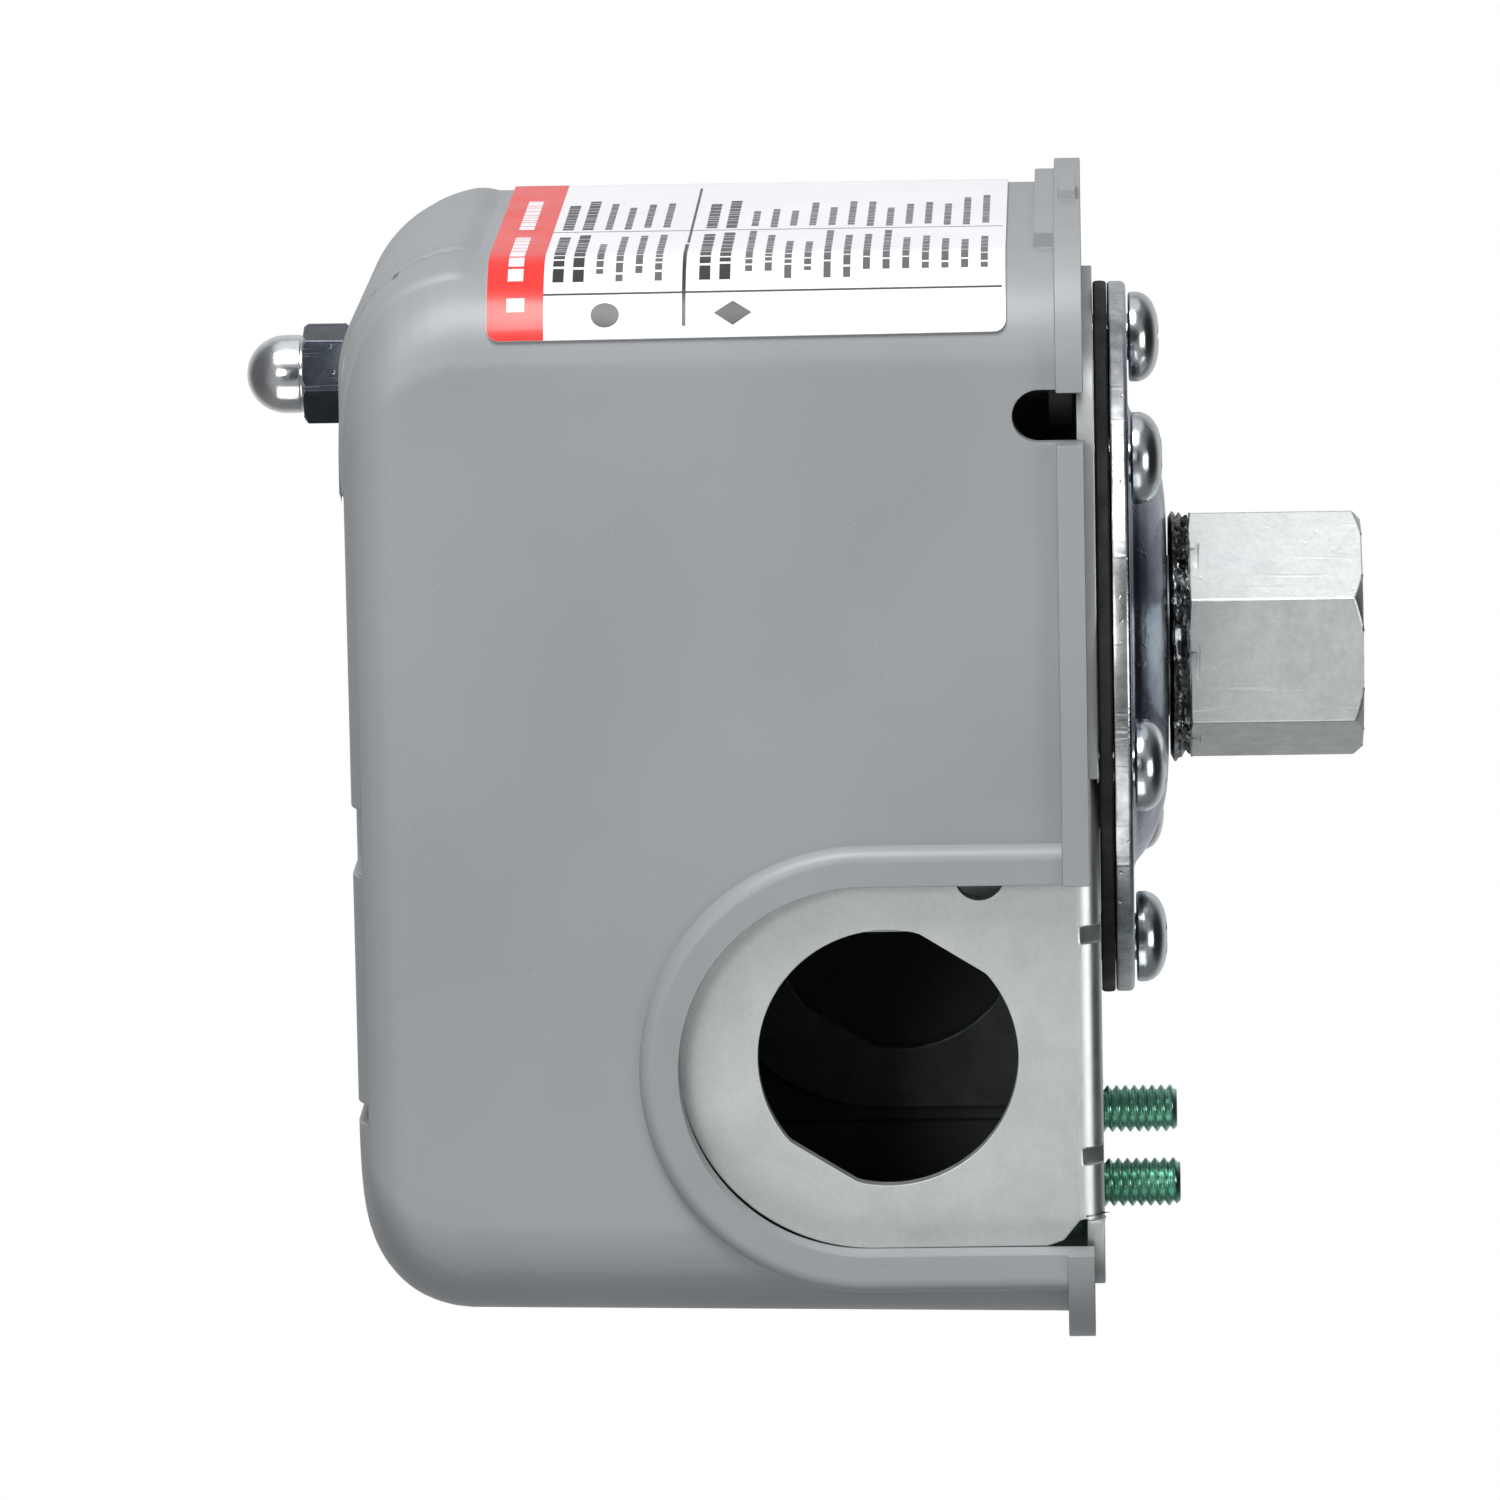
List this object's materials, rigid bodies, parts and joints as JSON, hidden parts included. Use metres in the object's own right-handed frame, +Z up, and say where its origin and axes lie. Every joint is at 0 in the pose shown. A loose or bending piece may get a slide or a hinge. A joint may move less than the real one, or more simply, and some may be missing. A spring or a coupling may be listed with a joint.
{
  "type": "pressure switch",
  "caption": "Diaphragm pressure switch with a hex pipe fitting, domed flange plate, stamped base with conduit flanges, and a lift-off grey cover held by an acorn nut.",
  "frame": {"origin": "centre of the pipe fitting's end face, on the fitting's axis", "axes": "+Z up the fitting's axis to the acorn nut, +X towards the spring end, conduit flanges face -Y and +Y"},
  "size_m": [0.096, 0.0686, 0.0968],
  "materials": {
    "grey_moulding": "fine moulded satin grey",
    "label_film": "printed film, white with a red band",
    "black_rubber": "moulded rubber sheet",
    "black_moulding": "thermoset moulding",
    "brass": "stamped brass",
    "contact_copper": "copper alloy",
    "green_zinc": "green zinc passivate",
    "zinc_sheet": "zinc-plated sheet steel",
    "zinc_plate": "blue-white zinc plate",
    "spring_steel": "drawn spring wire",
    "bright_nut": "bright zinc",
    "fitting_steel": "machined and zinc plated",
    "zinc_fastener": "blue-white zinc"
  },
  "bodies": {
    "root": {"hex_fitting": "fitting_steel", "flange_plate": "zinc_plate", "diaphragm": "black_rubber", "base_frame": "zinc_sheet", "range_stud": "zinc_fastener", "differential_stud": "zinc_fastener", "lever_pivot_pin": "zinc_fastener", "block_bracket": "zinc_sheet", "contact_block": "black_moulding", "rocker_pin": "zinc_fastener", "ground_screw_1": "green_zinc", "ground_screw_2": "green_zinc", "block_screw_1": "zinc_fastener", "block_screw_2": "zinc_fastener", "flange_screw_1": "zinc_fastener", "flange_screw_2": "zinc_fastener", "flange_screw_3": "zinc_fastener", "flange_screw_4": "zinc_fastener", "flange_screw_5": "zinc_fastener", "flange_screw_6": "zinc_fastener", "terminal_strip_1": "brass", "terminal_strip_2": "brass", "terminal_strip_3": "brass", "terminal_strip_4": "brass", "terminal_screw_1": "zinc_fastener", "terminal_screw_2": "zinc_fastener", "terminal_screw_3": "zinc_fastener", "terminal_screw_4": "zinc_fastener"},
    "cover_body": {"cover": "grey_moulding", "cover_label": "label_film"},
    "acorn_nut_body": {"acorn_nut": "bright_nut"},
    "plunger_body": {"plunger": "black_moulding"},
    "lever_body": {"pressure_lever": "zinc_sheet", "push_rod": "brass", "toggle_spring": "spring_steel"},
    "rocker_body": {"contact_carrier": "black_moulding", "contact_bridge_1": "contact_copper", "contact_bridge_2": "contact_copper"},
    "range_seat_body": {"range_spring_seat": "zinc_fastener", "range_spring": "spring_steel"},
    "range_nut_body": {"range_nut": "zinc_fastener"},
    "differential_seat_body": {"differential_spring_seat": "zinc_fastener", "differential_spring": "spring_steel"},
    "differential_nut_body": {"differential_nut": "zinc_fastener"}
  },
  "joints": [
    {"name": "cover_lift", "type": "slide", "parent": "root", "child": "cover_body", "axis": [0, 0, 1], "range_m": [0, 0.07]},
    {"name": "acorn_nut_turn", "type": "hinge", "parent": "cover_body", "child": "acorn_nut_body", "pos_m": [0.0242, 0, 0.0878], "axis": [0, 0, 1], "range_deg": [0, 1440]},
    {"name": "lever_tilt", "type": "hinge", "parent": "root", "child": "lever_body", "pos_m": [-0.017, 0, 0.034], "axis": [0, -1, 0], "range_deg": [0, 1.6]},
    {"name": "plunger_rise", "type": "slide", "parent": "root", "child": "plunger_body", "axis": [0, 0, 1], "range_m": [0, 0.0005]},
    {"name": "rocker_tilt", "type": "hinge", "parent": "root", "child": "rocker_body", "pos_m": [0.007, 0, 0.062], "axis": [0, 1, 0], "range_deg": [0, 6]},
    {"name": "range_seat_slide", "type": "slide", "parent": "root", "child": "range_seat_body", "axis": [0, 0, -1], "range_m": [0, 0.006], "deforming": ["range_spring"]},
    {"name": "range_nut_turn", "type": "hinge", "parent": "range_seat_body", "child": "range_nut_body", "pos_m": [0.0242, 0, 0.0668], "axis": [0, 0, -1], "range_deg": [0, 1710]},
    {"name": "differential_seat_slide", "type": "slide", "parent": "root", "child": "differential_seat_body", "axis": [0, 0, -1], "range_m": [0, 0.005], "deforming": ["differential_spring"]},
    {"name": "differential_nut_turn", "type": "hinge", "parent": "differential_seat_body", "child": "differential_nut_body", "pos_m": [0.0205, 0.0195, 0.0561], "axis": [0, 0, -1], "range_deg": [0, 2280]}
  ],
  "couplings": [
    {"joint": "plunger_rise", "follows": "lever_tilt", "m_per_rad": 0.01702},
    {"joint": "rocker_tilt", "follows": "lever_tilt", "ratio": 3.4},
    {"joint": "range_nut_turn", "follows": "range_seat_slide", "rad_per_m": 4947.4},
    {"joint": "differential_nut_turn", "follows": "differential_seat_slide", "rad_per_m": 7913.3}
  ]
}
